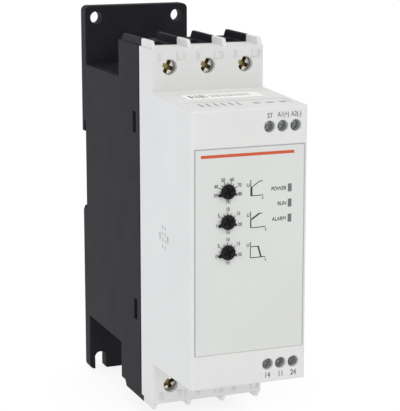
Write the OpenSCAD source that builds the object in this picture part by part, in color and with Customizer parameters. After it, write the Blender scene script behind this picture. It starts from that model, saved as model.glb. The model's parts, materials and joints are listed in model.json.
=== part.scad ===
// Compact soft starter for a 35 mm mounting rail, in millimetres.
// X runs to the right seen from the front, Z runs up, and the front faces -Y.
// The origin is the middle of the seated rail, on the rear mounting plane.
// A depth is measured forward from that plane, a height from the middle of the housing.

/* [Housing] */
// Width of the housing
body_w = 45; // [41:0.1:50]
// Depth from the mounting plane to the front face
body_d = 127.2; // [122:0.2:140]
// Thickness of the moulded walls
wall_t = 2; // [1.6:0.1:2.2]
// Height of the rear mounting plate
plate_h = 156; // [152:0.5:180]
// Thickness of the rear mounting plate
plate_t = 6.4; // [6:0.1:7.5]
// Corner radius of the mounting plate
plate_r = 2.2; // [1:0.1:2.4]
// Height over both terminal blocks
block_h = 136.8; // [124:0.2:150]
// Height of a terminal block beyond the finned chamber's grille
overhang_h = 14.4; // [13.2:0.1:15.4]
// Depth of the rear face of the terminal blocks
block_d = 48.4; // [46:0.2:52]
// Depth of the seam between the rear base and the front cover
seam_d = 72.2; // [71.6:0.1:73.4]
// Depth of the two terminal faces
step_d = 86.6; // [85.6:0.1:90]
// Height of a terminal face
face_h = 16; // [14.6:0.1:16.6]
// Draft of the raised front's ends, each over its whole depth
nose_draft = 1.6; // [0.6:0.1:2]
// Radius of the upright front edges
front_r = 1.4; // [0.6:0.1:2]
// Radius of the upper and lower front edges
brow_r = 0.8; // [0.4:0.1:1.2]

/* [Mounting] */
// Height of the mounting rail
rail_h = 35; // [34:0.1:36]
// Height of the rail's middle above the middle of the housing
rail_rise = 10.4; // [6:0.2:14]
// Depth of the rail recess
rail_recess = 4.5; // [4.2:0.1:5]
// Room for the rail's flange behind the lips
flange_gap = 1.5; // [1.3:0.1:1.8]
// Reach of the upper lip over the rail
upper_lip = 2.4; // [1.6:0.1:3]
// Reach of the lower lip over the rail
lower_lip = 0.9; // [0.6:0.1:1.2]
// Play of the rail against its spring
rail_play = 2; // [1.4:0.1:2.4]
// Diameter of the rail spring's wire
spring_wire_d = 1; // [0.8:0.1:1.2]
// Length of the rail spring between its ends
spring_span = 20; // [14:0.5:26]
// Diameter of the fixing holes
fix_d = 5; // [4.2:0.1:5.6]
// Distance of the fixing holes from the sides of the plate
fix_side = 4.8; // [4.2:0.1:7]
// Distance of the fixing holes from the ends of the plate
fix_edge = 4.9; // [4.2:0.1:6]

/* [Power terminals] */
// Distance of the power screws from the ends of the terminal blocks
pole_edge = 7; // [6.4:0.1:7.6]
// Diameter of the power screwdriver holes
pole_hole_d = 5.8; // [4.6:0.1:6.4]
// Diameter of the power screw heads
pole_head_d = 7; // [6.5:0.1:7.6]
// Thickness of the power screw heads
pole_head_t = 3.2; // [2.6:0.1:3.6]
// Thread diameter of the power screws
pole_thread_d = 4; // [3.5:0.1:4.5]
// Depth of the power screw heads behind the wall of the terminal faces
pole_sink = 1.3; // [0.8:0.1:1.6]
// Length of the power screws under the head
pole_shank = 10; // [9.6:0.1:10.4]
// Forward travel of a power cage from open to closed
pole_travel = 5.6; // [3:0.1:5.8]
// Room for a wire in an open power cage
pole_gap = 6.4; // [6:0.1:7]
// Outer width of a power cage
cage_w = 10; // [8.8:0.1:10.6]
// Width of a power contact bar
bar_w = 6; // [5:0.1:7]
// Thickness of a power contact bar
bar_t = 1.5; // [1.2:0.1:1.8]
// Thickness of the ribs
rib_t = 1.5; // [1:0.1:1.6]
// Height of the ribs
rib_h = 2.9; // [2:0.1:4]

/* [Control terminals] */
// Pitch of the control terminals
ctl_pitch = 5.08; // [5:0.04:5.12]
// Distance of the control screws from the ends of the front face
ctl_edge = 6.9; // [6.4:0.1:8]
// Diameter of the control screwdriver holes
ctl_hole_d = 4.2; // [3.6:0.1:4.6]
// Diameter of the control screw heads
ctl_head_d = 3.8; // [3.4:0.1:3.9]
// Thread diameter of the control screws
ctl_thread_d = 2.5; // [2:0.1:2.6]
// Forward travel of a control cage from open to closed
ctl_travel = 1.8; // [1:0.1:1.9]
// Room for a wire in an open control cage
ctl_gap = 3.6; // [3:0.1:3.7]

/* [Front panel] */
// Distance of the front label from the sides of the front face
label_side = 1.3; // [1.2:0.1:3]
// Distance of the front label from the control screws
label_gap = 6.3; // [4:0.1:8]
// Height of the label's middle
label_rise = -0.4; // [-2:0.1:2]
// Sideways place of the three knobs
knob_x = -8.58; // [-11:0.02:-7]
// Pitch of the knobs
knob_pitch = 11.05; // [10.4:0.05:12]
// Height of the middle knob
knob_rise = 10.55; // [8:0.05:12]
// Diameter of a knob
knob_d = 5.5; // [5:0.1:6.4]
// Reach of a knob's pointer from its axis
pointer_r = 3.9; // [3.4:0.1:4.6]
// Thickness of a knob
knob_t = 0.7; // [0.6:0.1:2]
// Diameter of a knob's shaft
shaft_d = 3.6; // [3:0.1:4]
// Width of a knob's pointer where it leaves the knob
pointer_w = 1.6; // [1.2:0.1:2]
// Turn of a knob from its lowest to its highest setting, in degrees
knob_turn = 222; // [180:2:270]
// Sideways place of the indicator windows
led_x = 15.5; // [14.5:0.1:16.2]
// Pitch of the indicator windows
led_pitch = 5.55; // [4.6:0.05:6.4]
// Height of the middle indicator window
led_rise = 15.85; // [13:0.05:18]
// Width of an indicator window
led_w = 1.25; // [1:0.05:2]
// Height of an indicator window
led_h = 2.7; // [2:0.05:3.2]

/* [Openings] */
// Pitch of the slots in the end grilles
grille_pitch = 8.2; // [7.6:0.1:9]
// Width of the slots in the end grilles
grille_slot = 4; // [2.5:0.1:4.6]
// Depth of the first grille slot
grille_first = 14.2; // [12:0.1:15]
// Height of the snap windows
snap_h = 8; // [6:0.1:8.4]
// Depth of the rear end of the snap windows
snap_d = 65; // [64:0.1:65.4]
// Pitch of the slots in the raised front's ends
vent_pitch = 2.9; // [2.4:0.1:3.2]
// Width of the slots in the raised front's ends
vent_w = 0.9; // [0.6:0.1:1.4]
// Pitch of the small holes in the left side
peep_pitch = 2.5; // [2.2:0.1:3]

/* [Inside] */
// Thickness of the circuit boards
board_t = 1.6; // [1.2:0.1:1.8]
// Thickness of the heat sink's base
sink_base_t = 6; // [4:0.2:8]
// Number of fins on the heat sink
fin_count = 9; // [5:1:11]
// Thickness of a fin
fin_t = 1.5; // [1:0.1:1.8]
// Height of the thyristor modules off the heat sink
module_t = 10; // [8:0.2:12]
// Height of the bypass relays off their board
relay_t = 16; // [12:0.5:20]

/* [Hidden] */

$fn = 48;

// Fits shared by the pieces
fit = 0.3;
thread_fit = 0.05;
slip_fit = 0.1;
cut = 1;

// Shells
in_w = body_w - 2 * wall_t;
half_block = block_h / 2;
duct_h = block_h - 2 * overhang_h;
half_duct = duct_h / 2;
half_plate = plate_h / 2;
nose_root_h = block_h - 2 * face_h;
nose_front_h = nose_root_h - 2 * nose_draft;
fix_span = body_w - 2 * fix_side;
seam_gap = 0.5;
tongue_t = 1.5;
tongue_reach = 3;
tongue_root = 4;
cover_back = seam_d + seam_gap;
seam_r = 0.6;
rib_seam = seam_d + 1.8;
rib_back = block_d + 2.6;
rib_slant = 2.2;
rib_chamfer = 1.9;
rib_inset = 0.2;
rib_side = 0.45;
rib_pitch = (body_w - 2 * rib_side - rib_t) / 3;
partition_t = 1.2;
grille_edge = 1;

// Rail recess and its spring
rail_low = rail_rise - rail_h / 2;
rail_high = rail_rise + rail_h / 2;
lip_t = rail_recess - flange_gap;
lip_lead = 1.4;
lip_flat = 0.8;
spring_low = rail_high - 0.4;
spring_sag = 2.6;
spring_r = (spring_span * spring_span / 4 + spring_sag * spring_sag) / (2 * spring_sag);
spring_d = rail_recess - flange_gap / 2;
spring_seat = spring_low + spring_wire_d + spring_sag + slip_fit;
spring_room = 2.5;

// Power terminals, from the terminal face backwards
pole_head_front = step_d - wall_t - pole_sink;
pole_head_back = pole_head_front - pole_head_t;
pole_tip = pole_head_back - pole_shank;
bar_front = pole_tip - fit;
bar_back = bar_front - bar_t;
pole_pitch = (in_w - cage_w) / 2 - fit;
pole_h = half_block - pole_edge;
cage_room = 0.7;
cage_len = 2 * (pole_edge - wall_t - cage_room);
cage_t = 1.4;
cage_side_t = 1;
cage_nut_t = 3;
nut_clear = pole_head_back - fit - cage_nut_t - pole_travel;
cage_back = bar_back - pole_gap;
bar_tip_h = pole_h + cage_len / 2 - 0.8;
bar_lap = 7.6;
pole_entry_back = cage_back - 0.6;
pole_cross = [5.2, 1.5, 2];
pole_turns = [-24, -31, -27];
pole_guide_t = 1;

// Boards and heat sink
board_front = bar_back;
board_back = board_front - board_t;
board_w = in_w - 4.6;
board_end = 4;
board_h = duct_h - 2 * board_end;
bar_foot_h = board_h / 2 - bar_lap;
board_fix_x = board_w / 2 - 1.7;
board_fix_h = 26;
ledge_x = in_w / 2 - 4.4;
ledge_h = 6;
ledge_t = 4;
shelf_t = 2.5;
chamber_h = duct_h - 2 * shelf_t;
sink_front = block_d - 2.4;
sink_back = sink_front - sink_base_t;
sink_h = chamber_h - 3;
sink_w = in_w - 0.8;
boss_w = 5;
boss_reach = 10;
boss_h = 9;
boss_x = in_w / 2 - boss_w / 2;
boss_z = sink_h / 2 - boss_h / 2;
fin_block_w = in_w - 2 * boss_w - 2;
fin_end = plate_t + 2.6;
sink_screw_d = 2.5;
sink_hole_d = 3.4;
sink_head_d = 4.8;
board_screw_d = 1.8;
board_hole_d = 2.2;
board_head_d = 3.4;
module_w = in_w / 2 - 5.5;
module_h = 34;
module_x = module_w / 2 + 1;
relay_w = module_w - 1;
relay_h = 29;
riser_t = 1.6;
riser_x = board_w / 2 - riser_t - 0.4;
riser_h = 24;

// Control terminals, from the front face backwards
ctl_face = body_d - wall_t - 0.6;
ctl_head_front = ctl_face - 1.4;
ctl_head_t = 1.5;
ctl_head_back = ctl_head_front - ctl_head_t;
ctl_shank = 3.6;
ctl_tip = ctl_head_back - ctl_shank;
ctl_bar_t = 0.6;
ctl_bar_front = ctl_tip - fit;
ctl_bar_back = ctl_bar_front - ctl_bar_t;
ctl_cage_t = 0.6;
ctl_cage_side_t = 0.5;
ctl_cage_w = 3.9;
ctl_cage_len = 5.2;
ctl_nut_t = 1.2;
ctl_nut_back = ctl_head_back - fit - ctl_nut_t - ctl_travel;
ctl_cage_back = ctl_bar_back - ctl_gap - ctl_cage_t;
ctl_cell_w = 4.4;
ctl_floor = 0.7;
control_front = ctl_cage_back - fit - ctl_floor;
control_back = control_front - board_t;
control_w = in_w - 1.4;
control_h = nose_front_h - 2 * wall_t - 3.6;
ctl_block_w = 3 * ctl_pitch;
ctl_x = (in_w - ctl_block_w) / 2 - fit;
ctl_h = nose_front_h / 2 - ctl_edge;
ctl_block_low = 5.1;
ctl_block_high = ctl_edge - wall_t - 0.4;
ctl_block_t = 0.9;
ctl_bar_w = 2.3;
ctl_foot_h = ctl_block_low - ctl_block_t - 0.1;
ctl_foot_t = 0.6;
ctl_cross = [2.8, 0.6, 0.9];
ctl_entry_back = ctl_bar_back - ctl_gap;
entry_w = 2.9;
entry_d = 3.4;
post_d = 6;
post_edge = 4;
post_inset = 5;
post_drop = 8.8;
post_places = [for (end = [1, -1], place = [
    [post_edge - in_w / 2, control_h / 2 - post_edge],
    [in_w / 2 - post_inset, ctl_h - ctl_block_low - post_drop]])
    [place[0], end * place[1]]];

// Front panel
label_w = body_w - 2 * label_side;
label_h = 2 * (ctl_h - label_gap);
label_t = 0.25;
label_bed = 0.3;
label_face = body_d - label_bed + label_t;
knob_back = label_face + fit;
trimmer_w = knob_pitch - 1.4;
trimmer_t = 5;
shaft_end = control_front + 1;
pipe_back = control_front + 1.2;
pointer_rest = 90 + knob_turn / 2;
pointer_tip_r = 0.5;
knob_cross = [shaft_d - 0.2, 0.8, 0.5];
collar_d = shaft_d + 3;
collar_t = 1;
collar_back = control_front + trimmer_t;

// End slots, sticker and pocket of the raised front
vent_count = 6;
vent_x = -14.2;
vent_len = 6;
vent_inset = 2.2;
pocket_d0 = ctl_entry_back - 3.6;
pocket_d1 = ctl_entry_back + entry_d + 2.4;
pocket_x0 = 4.1 - body_w / 2;
pocket_x1 = ctl_x + 1.5 * ctl_pitch - 0.3;
pocket_sink = 0.25;
sticker_w = 29.8;
sticker_len = 9.6;
sticker_x = 0.1;
sticker_set = 9.3;
sticker_d = step_d + sticker_set;
sticker_r = 1;
sticker_t = 0.15;
peep_d = step_d + 0.3 * (body_d - step_d);
peep_gap = 2.75;
peep_size = [1, 1.2];
long_peep = [1.5, 2.9];

// Snap hooks that hold the cover on the base
snap_len = 3.3;
snap_places = [38.6, -35.5];
hook_t = 1.5;
hook_gap = 0.2;
hook_nose = 1.1;
hook_nose_len = 1.2;
hook_tip = snap_d + 1;
hook_root = seam_d + tongue_reach;
hook_root_len = 5;
hook_pass = 1;

function nose_half(d) =
    (nose_root_h - (nose_root_h - nose_front_h) * (d - step_d) / (body_d - step_d)) / 2;
function arc(x, y, r, from, to) =
    [for (k = [0:4]) [x + r * cos(from + (to - from) * k / 4), y + r * sin(from + (to - from) * k / 4)]];
function knob_h(k) = knob_rise + (2 - k) * knob_pitch;
function led_place(k) = led_rise + (2 - k) * led_pitch;
function pole_x(k) = (k - 2) * pole_pitch;
function ctl_place(k) = ctl_x + (k - 2) * ctl_pitch;

// Puts a piece that is drawn about the middle of the housing into the rail's frame,
// turned over where it belongs to the lower end
module placed(shade, lower = false)
    color(shade) translate([0, 0, -rail_rise]) mirror([0, 0, lower ? 1 : 0]) children();

module both_ends() {
    children();
    mirror([0, 0, 1]) children();
}

// A side view, drawn as depth and height, carried across the width
module across(width) rotate([90, 0, -90]) linear_extrude(width, center = true) children();

// A front view, drawn as sideways place and height, carried forward from one depth to another
module facing(d0, d1) translate([0, -d0, 0]) rotate([90, 0, 0]) linear_extrude(d1 - d0) children();

// A block between two sideways places, two depths and two heights
module slab(x, d, h) translate([x[0], -d[1], h[0]]) cube([x[1] - x[0], d[1] - d[0], h[1] - h[0]]);

// A round bar or hole along the depth
module rod(x, h, d, d0, d1) translate([x, 0, h]) facing(d0, d1) circle(d = d);

// A round piece with a bevelled front edge
module button(x, h, d, d0, d1, bevel) {
    rod(x, h, d, d0, d1 - bevel);
    translate([x, -d1 + bevel, h]) rotate([90, 0, 0]) cylinder(d1 = d, d2 = d - 2 * bevel, h = bevel);
}

// The crossed recess of a screw head or a knob, sized by the length, width and depth of its arms
module cross_recess(x, h, arms, face, turn = 0) translate([x, 0, h]) facing(face - arms[2], face + cut)
    for (a = [0, 90]) rotate(a + turn) square([arms[0], arms[1]], center = true);

// A pan-head screw whose shank goes back from its seat
module pan_screw(x, h, d, head_d, seat, length) {
    head_t = head_d * 0.4;
    rod(x, h, d, seat - length, seat + head_t / 2);
    difference() {
        button(x, h, head_d, seat, seat + head_t, head_t / 5);
        cross_recess(x, h, [head_d * 0.6, head_d / 6, head_t / 2], seat + head_t);
    }
}

module rounded_rect(w, h, r) {
    square([w, h - 2 * r], center = true);
    square([w - 2 * r, h], center = true);
    for (x = [-1, 1], y = [-1, 1]) translate([x * (w / 2 - r), y * (h / 2 - r)]) circle(r);
}

// Rear base: one black moulding with the mounting plate, the finned chamber and both terminal blocks

module base_side() polygon([
    [0, -half_plate], [plate_t, -half_plate], [plate_t, -half_duct], [block_d, -half_duct],
    [block_d, -half_block], [seam_d, -half_block], [seam_d, half_block], [block_d, half_block],
    [block_d, half_duct], [plate_t, half_duct], [plate_t, half_plate], [0, half_plate]]);

// The recess for the rail, with a deep lip above and a chamfered lip below
module rail_recess_side() polygon([
    [-cut, rail_low - lip_lead], [0, rail_low - lip_lead], [lip_t - lip_flat, rail_low + lower_lip],
    [lip_t, rail_low + lower_lip], [lip_t, rail_low - slip_fit], [rail_recess, rail_low - slip_fit],
    [rail_recess, rail_high + rail_play], [lip_t, rail_high + rail_play], [lip_t, rail_high - upper_lip],
    [-cut, rail_high - upper_lip]]);

module wire_entries() for (k = [1:3])
    slab([pole_x(k) - cage_w / 2, pole_x(k) + cage_w / 2], [pole_entry_back, bar_front],
        [half_block - wall_t - cut, half_block + cut]);

module base_rib_side() polygon([
    [rib_back, half_block - wall_t / 2], [rib_back, half_block], [rib_back + rib_slant, half_block + rib_h],
    [rib_seam, half_block + rib_h], [rib_seam, half_block], [seam_d, half_block],
    [seam_d, half_block - wall_t / 2]]);

module ribs() for (x = [-1.5, -0.5, 0.5, 1.5]) translate([x * rib_pitch, 0, 0]) across(rib_t) children();

module partition(x, d0, d1, h0) slab(
    [x - partition_t / 2, x + partition_t / 2], [d0, d1], [h0, half_block - wall_t / 2]);

module base_end() {
    // Top wall that carries on under the cover
    difference() {
        slab([-in_w / 2 + slip_fit, in_w / 2 - slip_fit], [seam_d - cut, rib_seam],
            [half_block - wall_t, half_block]);
        wire_entries();
    }
    ribs() base_rib_side();
    // Shelf and partitions between the poles
    slab([-in_w / 2 - cut / 2, in_w / 2 + cut / 2], [block_d, board_back - fit],
        [half_duct - shelf_t, half_duct]);
    for (x = [-0.5, 0.5]) partition(x * pole_pitch, block_d, seam_d, half_duct - cut);
    // Bosses under the heat sink, and ledges under the power board
    for (side = [0, 1]) mirror([side, 0, 0]) {
        difference() {
            slab([in_w / 2 - boss_w, in_w / 2 + cut / 2], [sink_back - boss_reach, sink_back],
                [boss_z - boss_h / 2, boss_z + boss_h / 2]);
            rod(boss_x, boss_z, sink_screw_d, sink_back - boss_reach + cut, sink_back + cut);
        }
        for (h = [(board_h - ledge_h) / 2, board_fix_h]) difference() {
            slab([ledge_x, in_w / 2 + cut / 2], [board_back - ledge_t, board_back],
                [h - ledge_h / 2, h + ledge_h / 2]);
            rod(board_fix_x, board_fix_h, board_screw_d, board_back - ledge_t - cut, board_back + cut);
        }
    }
}

// Outline from above of the tongue on the inner face of a side wall
module tongue_plan() polygon([
    [wall_t / 2, -seam_d + tongue_root], [-tongue_t, -seam_d + tongue_root],
    [-tongue_t, -seam_d - tongue_reach], [-slip_fit, -seam_d - tongue_reach], [-slip_fit, -seam_d],
    [wall_t / 2, -seam_d]]);

module rear_base() placed("#3b3b40") difference() {
    union() {
        difference() {
            intersection() {
                across(body_w) base_side();
                facing(-cut, seam_d + cut) rounded_rect(body_w, plate_h, plate_r);
            }
            slab([-in_w / 2, in_w / 2], [plate_t, seam_d + cut], [-chamber_h / 2, chamber_h / 2]);
            both_ends() {
                slab([-in_w / 2, in_w / 2], [block_d + wall_t, seam_d + cut],
                    [half_duct - cut, half_block - wall_t]);
                slab([-in_w / 2, in_w / 2], [board_back - fit, seam_d + cut], [0, half_block - wall_t]);
                wire_entries();
                for (k = [0:3]) let (d = grille_first + k * grille_pitch)
                    slab([-in_w / 2 + grille_edge, in_w / 2 - grille_edge],
                        [d - grille_slot / 2, d + grille_slot / 2], [chamber_h / 2 - cut, half_duct + cut]);
            }
        }
        both_ends() base_end();
        // Tongue inside the seam, left out where the cover's hooks pass
        for (side = [0, 1]) mirror([side, 0, 0]) difference() {
            translate([in_w / 2, 0, -chamber_h / 2]) linear_extrude(chamber_h) tongue_plan();
            for (h = snap_places) translate([in_w / 2, 0, h])
                slab([-tongue_t - cut, 0], [snap_d, seam_d + tongue_reach + cut],
                    [-snap_h / 2 - hook_pass, snap_h / 2 + hook_pass]);
        }
    }
    across(body_w + 2 * cut) rail_recess_side();
    slab([-spring_span / 2 - spring_room, spring_span / 2 + spring_room], [lip_t, rail_recess],
        [rail_rise, spring_seat]);
    for (side = [-1, 1]) {
        rod(side * fix_span / 2, half_plate - fix_edge, fix_d, -cut, plate_t + cut);
        rod(side * fix_span / 2, fix_edge - half_plate, fix_d, -cut, plate_t + cut);
        translate([side * fix_span / 2, 0, 0])
            slab([-fix_d / 2, fix_d / 2], [-cut, plate_t + cut], [-half_plate - cut, fix_edge - half_plate]);
        for (h = snap_places) translate([side * body_w / 2, 0, h])
            slab([-wall_t - cut, wall_t + cut], [snap_d, snap_d + snap_len], [-snap_h / 2, snap_h / 2]);
    }
}

// Front cover: a light grey shell with two terminal faces and a raised front

module cover_side() {
    front_half = nose_half(body_d);
    upper = concat(
        arc(body_d - brow_r, front_half - brow_r, brow_r, 0, 90),
        [[step_d, nose_half(step_d)], [step_d, half_block], [cover_back, half_block]]);
    polygon(concat(upper, [for (k = [len(upper) - 1:-1:0]) [upper[k][0], -upper[k][1]]]));
}

module cover_hollow_side() {
    upper = [
        [body_d - wall_t, nose_half(body_d) - wall_t], [step_d - wall_t, nose_half(step_d) - wall_t],
        [step_d - wall_t, half_block - wall_t], [cover_back - cut, half_block - wall_t]];
    polygon(concat(upper, [for (k = [len(upper) - 1:-1:0]) [upper[k][0], -upper[k][1]]]));
}

// Outline from above, with rounded edges at the front and along the seam
module cover_plan() {
    translate([-body_w / 2, -body_d + front_r]) square([body_w, body_d - front_r - cover_back - seam_r]);
    translate([-body_w / 2 + front_r, -body_d]) square([body_w - 2 * front_r, front_r + cut]);
    translate([-body_w / 2 + seam_r, -cover_back - seam_r - cut]) square([body_w - 2 * seam_r, seam_r + cut]);
    for (side = [-1, 1]) {
        translate([side * (body_w / 2 - front_r), -body_d + front_r]) circle(front_r);
        translate([side * (body_w / 2 - seam_r), -cover_back - seam_r]) circle(seam_r);
    }
}

module cover_rib_side() polygon([
    [rib_seam + slip_fit, half_block - wall_t / 2], [rib_seam + slip_fit, half_block + rib_h],
    [step_d - rib_inset - rib_chamfer, half_block + rib_h], [step_d - rib_inset, half_block],
    [step_d - rib_inset, half_block - wall_t / 2]]);

module cover_end_cuts() {
    // The base's top wall reaches in here
    slab([-in_w / 2, in_w / 2], [cover_back - cut, rib_seam + slip_fit],
        [half_block - wall_t - cut, half_block + cut]);
    for (k = [1:3]) {
        rod(pole_x(k), pole_h, pole_hole_d, step_d - wall_t - cut, step_d + cut);
        rod(ctl_place(k), ctl_h, ctl_hole_d, body_d - wall_t - cut, body_d + cut);
        slab([ctl_place(k) - entry_w / 2, ctl_place(k) + entry_w / 2],
            [ctl_entry_back, ctl_entry_back + entry_d], [ctl_h + ctl_block_high / 2, half_block]);
    }
    for (k = [0:vent_count - 1]) let (x = vent_x + k * vent_pitch)
        slab([x - vent_w / 2, x + vent_w / 2], [pocket_d0 + vent_inset, pocket_d0 + vent_inset + vent_len],
            [nose_half(body_d) - wall_t - cut, half_block]);
    // Shallow pocket round the slots and the wire entries
    translate([(pocket_x0 + pocket_x1) / 2, 0, 0]) across(pocket_x1 - pocket_x0) polygon([
        [pocket_d0, nose_half(pocket_d0) - pocket_sink], [pocket_d1, nose_half(pocket_d1) - pocket_sink],
        [pocket_d1, half_block], [pocket_d0, half_block]]);
}

// Collars that guide a screwdriver to the sunk heads of the power screws
module pole_guides() for (k = [1:3]) difference() {
    rod(pole_x(k), pole_h, pole_hole_d + 2 * pole_guide_t, pole_head_front + fit, step_d - wall_t / 2);
    rod(pole_x(k), pole_h, pole_hole_d, pole_head_front, step_d);
}

// Outline from above of a springy hook, from its free end behind the seam to its root on the side wall
module cover_hook_plan() {
    inner = in_w / 2 - hook_gap - hook_t;
    outer = in_w / 2 - hook_gap;
    nose_end = snap_d + snap_len - slip_fit;
    polygon([
        [inner, -hook_tip], [outer, -hook_tip], [outer + hook_nose, -nose_end + hook_nose_len],
        [outer + hook_nose, -nose_end], [outer, -nose_end], [outer, -hook_root],
        [in_w / 2 + wall_t / 2, -hook_root], [in_w / 2 + wall_t / 2, -hook_root - hook_root_len],
        [inner, -hook_root - hook_root_len]]);
}

module cover_hooks() for (side = [0, 1]) mirror([side, 0, 0]) for (h = snap_places)
    translate([0, 0, h - snap_h / 2 + fit]) linear_extrude(snap_h - 2 * fit) cover_hook_plan();

// Two rows of small holes in the left side, between two long ones
module peep_holes() translate([-body_w / 2, -peep_d, 0]) {
    for (row = [-1.5:1.5], column = [-0.5, 0.5]) translate([0, column * peep_gap, row * peep_pitch])
        cube([wall_t * 3, peep_size[0], peep_size[1]], center = true);
    for (column = [-1.5, 1.5]) translate([0, column * peep_gap, 0])
        across(wall_t * 3) rounded_rect(long_peep[0], long_peep[1], long_peep[0] / 2 - 0.05);
}

module board_posts() for (place = post_places) difference() {
    rod(place[0], place[1], post_d, control_front, body_d - wall_t / 2);
    rod(place[0], place[1], board_screw_d, control_front - cut, body_d - 2 * wall_t);
}

module front_cover() placed("#e4e4e2") difference() {
    union() {
        difference() {
            intersection() {
                across(body_w) cover_side();
                translate([0, 0, -half_block - cut]) linear_extrude(block_h + 2 * cut) cover_plan();
            }
            across(in_w) cover_hollow_side();
            both_ends() cover_end_cuts();
            peep_holes();
        }
        both_ends() {
            ribs() cover_rib_side();
            pole_guides();
            for (x = [-0.5, 0.5])
                partition(x * pole_pitch, rib_seam + slip_fit, step_d - cut, nose_half(step_d) + cut);
        }
        cover_hooks();
        board_posts();
    }
    translate([0, 0, label_rise]) facing(body_d - label_bed, body_d + cut)
        square([label_w + 2 * slip_fit, label_h + 2 * slip_fit], center = true);
    panel_holes(body_d - wall_t - cut);
}

// Holes for the knob shafts and the light pipes
module panel_holes(d0) for (k = [1:3]) {
    rod(knob_x, knob_h(k), shaft_d + 2 * fit, d0, body_d + cut);
    translate([led_x, 0, led_place(k)]) facing(d0, body_d + cut)
        square([led_w + 2 * slip_fit, led_h + 2 * slip_fit], center = true);
}

module front_label() placed("#d9dbd8") difference() {
    translate([0, 0, label_rise]) facing(body_d - label_bed, label_face)
        square([label_w, label_h], center = true);
    panel_holes(body_d - wall_t);
}

module top_sticker() placed("#f4f4f2") translate([sticker_x, 0, 0]) intersection() {
    across(sticker_w) polygon([
        [sticker_d, nose_half(sticker_d)], [sticker_d + sticker_len, nose_half(sticker_d + sticker_len)],
        [sticker_d + sticker_len, nose_half(sticker_d + sticker_len) + sticker_t],
        [sticker_d, nose_half(sticker_d) + sticker_t]]);
    translate([0, -sticker_d - sticker_len / 2, 0]) linear_extrude(half_block)
        rounded_rect(sticker_w, sticker_len, sticker_r);
}

// Bowed wire that presses the rail onto the lower lip
module rail_spring() placed("#b9bcc0") {
    swing = 2 * asin(spring_span / 2 / spring_r);
    translate([0, -spring_d, spring_low + spring_wire_d / 2 + spring_r])
        rotate([90, 0, 0]) rotate(-90 - swing / 2)
            rotate_extrude(angle = swing) translate([spring_r, 0]) circle(d = spring_wire_d);
}

// Heat sink: one extrusion, with its fins towards the rail

module heat_sink() placed("#b4b7ba") difference() {
    translate([0, 0, -sink_h / 2]) linear_extrude(sink_h) {
        translate([-sink_w / 2, -sink_front]) square([sink_w, sink_base_t]);
        for (k = [0:fin_count - 1]) let (x = (k / (fin_count - 1) - 0.5) * (fin_block_w - fin_t))
            translate([x - fin_t / 2, -sink_back - cut]) square([fin_t, sink_back - fin_end + cut]);
    }
    for (side = [-1, 1], end = [-1, 1])
        rod(side * boss_x, end * boss_z, sink_hole_d, sink_back - cut, sink_front + cut);
}

module sink_screws() placed("#9a9da1") for (side = [-1, 1], end = [-1, 1]) pan_screw(
    side * boss_x, end * boss_z, sink_screw_d, sink_head_d, sink_front, sink_base_t + boss_reach - 2);

// Thyristor module with its pins up to the power board
module thyristor(side) placed("#26262a") translate([side * module_x, 0, 0]) {
    facing(sink_front, sink_front + module_t) rounded_rect(module_w, module_h, 1);
    for (x = [-1, 1], h = [-1, 0, 1])
        rod(x * (module_w / 2 - 2), h * (module_h / 2 - 3), 1,
            sink_front + module_t - cut, board_back);
}

module power_board() placed("#2f6a45") difference() {
    facing(board_back, board_front) square([board_w, board_h], center = true);
    for (side = [-1, 1], end = [-1, 1])
        rod(side * board_fix_x, end * board_fix_h, board_hole_d, board_back - cut, board_front + cut);
}

module relay(side) placed("#30343a") translate([side * module_x, 0, 0]) {
    facing(board_front, board_front + relay_t - 1) rounded_rect(relay_w, relay_h, 0.8);
    facing(board_front + relay_t - 1 - cut / 2, board_front + relay_t)
        rounded_rect(relay_w - 1, relay_h - 1, 0.8);
}

// Small board that joins the power board to the control board
module riser_board() placed("#2f6a45")
    slab([riser_x, riser_x + riser_t], [board_front, control_back], [-riser_h / 2, riser_h / 2]);

module control_board() placed("#2f6a45") difference() {
    facing(control_back, control_front) square([control_w, control_h], center = true);
    for (place = post_places) rod(place[0], place[1], board_hole_d, control_back - cut, control_front + cut);
}

// Screws that hold the power board on its ledges and the control board on the cover's posts
module board_screws() placed("#9a9da1") {
    for (side = [-1, 1], end = [-1, 1]) pan_screw(
        side * board_fix_x, end * board_fix_h, board_screw_d, board_head_d, board_front, board_t + ledge_t);
    for (place = post_places) translate([place[0], -control_back, place[1]]) mirror([0, 1, 0])
        pan_screw(0, 0, board_screw_d, board_head_d, 0, board_t + 6);
}

module indicator_leds() placed("#d8d2a8") for (k = [1:3]) translate([led_x, 0, led_place(k)])
    facing(control_front, pipe_back - 0.2) square([led_w, led_h], center = true);

module light_pipe(k) placed("#8d9092") translate([led_x, 0, led_place(k)])
    facing(pipe_back, label_face) square([led_w, led_h], center = true);

// Setting knobs and the trimmers that they turn

module knob_outline() {
    tip = pointer_r - pointer_tip_r;
    circle(d = knob_d);
    rotate(pointer_rest) {
        polygon([
            [0, -pointer_w / 2], [knob_d / 2, -pointer_w / 2], [tip, -pointer_tip_r], [tip, pointer_tip_r],
            [knob_d / 2, pointer_w / 2], [0, pointer_w / 2]]);
        translate([tip, 0]) circle(pointer_tip_r);
    }
}

module knob(k) placed("#242426") difference() {
    translate([knob_x, 0, knob_h(k)]) {
        facing(knob_back, knob_back + knob_t) knob_outline();
        facing(shaft_end, knob_back + knob_t / 2) circle(d = shaft_d);
    }
    cross_recess(knob_x, knob_h(k), knob_cross, knob_back + knob_t, pointer_rest);
}

module trimmer(k) placed("#35506e") difference() {
    translate([knob_x, 0, knob_h(k)]) {
        facing(control_front, collar_back) square([trimmer_w, trimmer_w], center = true);
        facing(collar_back - cut / 2, collar_back + collar_t) circle(d = collar_d);
    }
    rod(knob_x, knob_h(k), shaft_d + 2 * thread_fit, shaft_end - fit, collar_back + collar_t + cut);
}

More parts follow.
